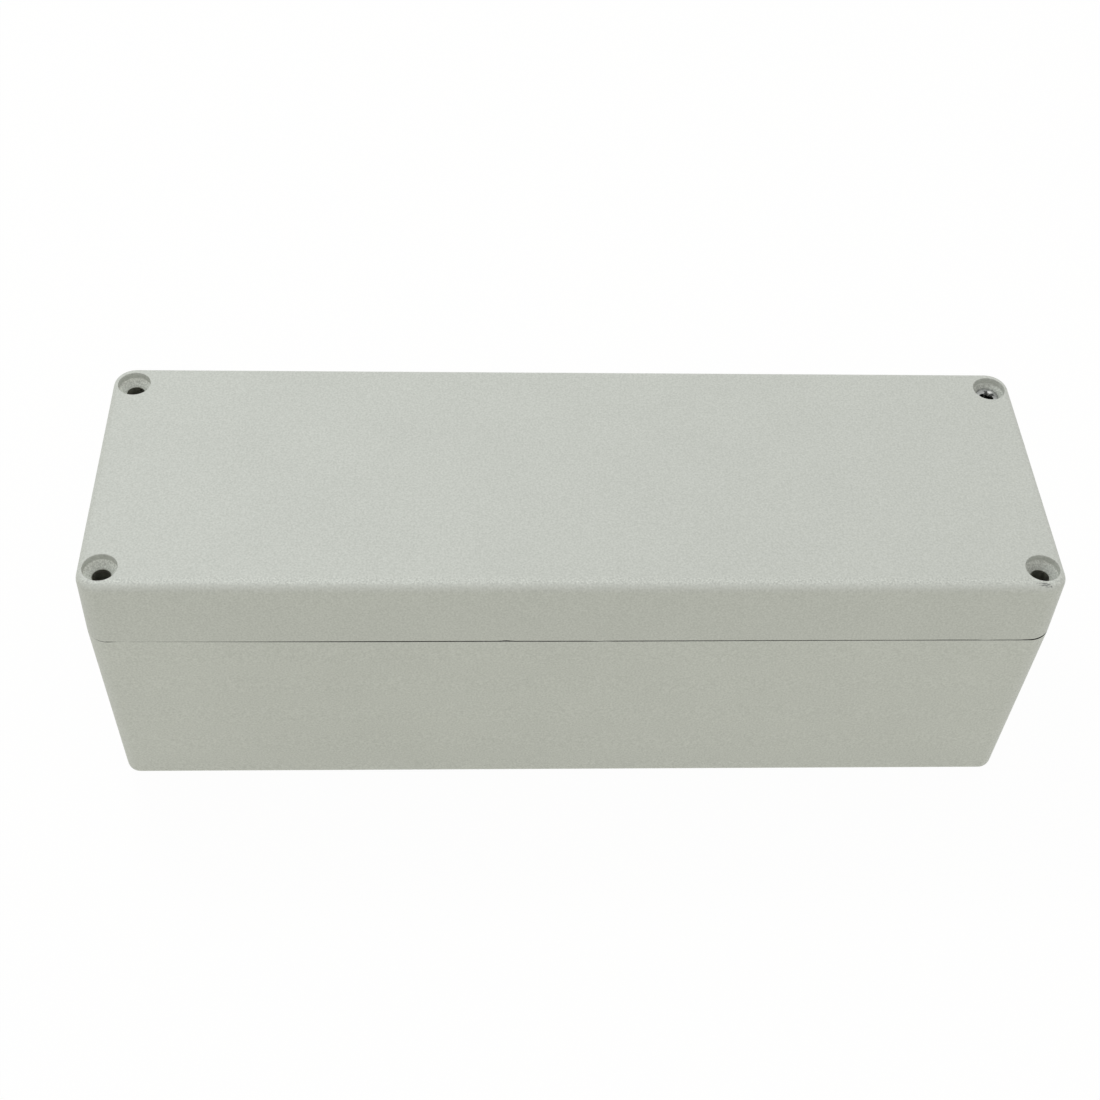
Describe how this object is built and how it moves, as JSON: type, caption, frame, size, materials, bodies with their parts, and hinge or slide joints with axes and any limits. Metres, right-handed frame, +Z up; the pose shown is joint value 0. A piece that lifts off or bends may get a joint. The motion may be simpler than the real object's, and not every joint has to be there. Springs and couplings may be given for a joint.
{
  "type": "aluminium junction box",
  "caption": "Long die-cast metal box with rounded edges and a screwed, gasketed lid, for housing and protecting wiring or a circuit board.",
  "frame": {"origin": "centre of the underside", "axes": "+X along the length, -Y the long front side, +Z up through the lid"},
  "size_m": [0.25, 0.082, 0.082],
  "materials": {
    "powder_coat": "fine-textured light grey powder coat on die-cast aluminium",
    "seal_rubber": "matte black rubber strip",
    "screw_steel": "dull zinc-plated steel, greasy in the recess"
  },
  "bodies": {
    "base": {"base": "powder_coat"},
    "lid": {"lid": "powder_coat", "gasket": "seal_rubber"},
    "screw": {"lid_screw": "screw_steel"}
  },
  "joints": [
    {"name": "lid_lift", "type": "slide", "parent": "base", "child": "lid", "axis": [0, 0, 1], "range_m": [0, 0.1]},
    {"name": "lid_screw_withdraw", "type": "slide", "parent": "lid", "child": "screw", "axis": [0, 0, 1], "range_m": [0, 0.032]}
  ]
}
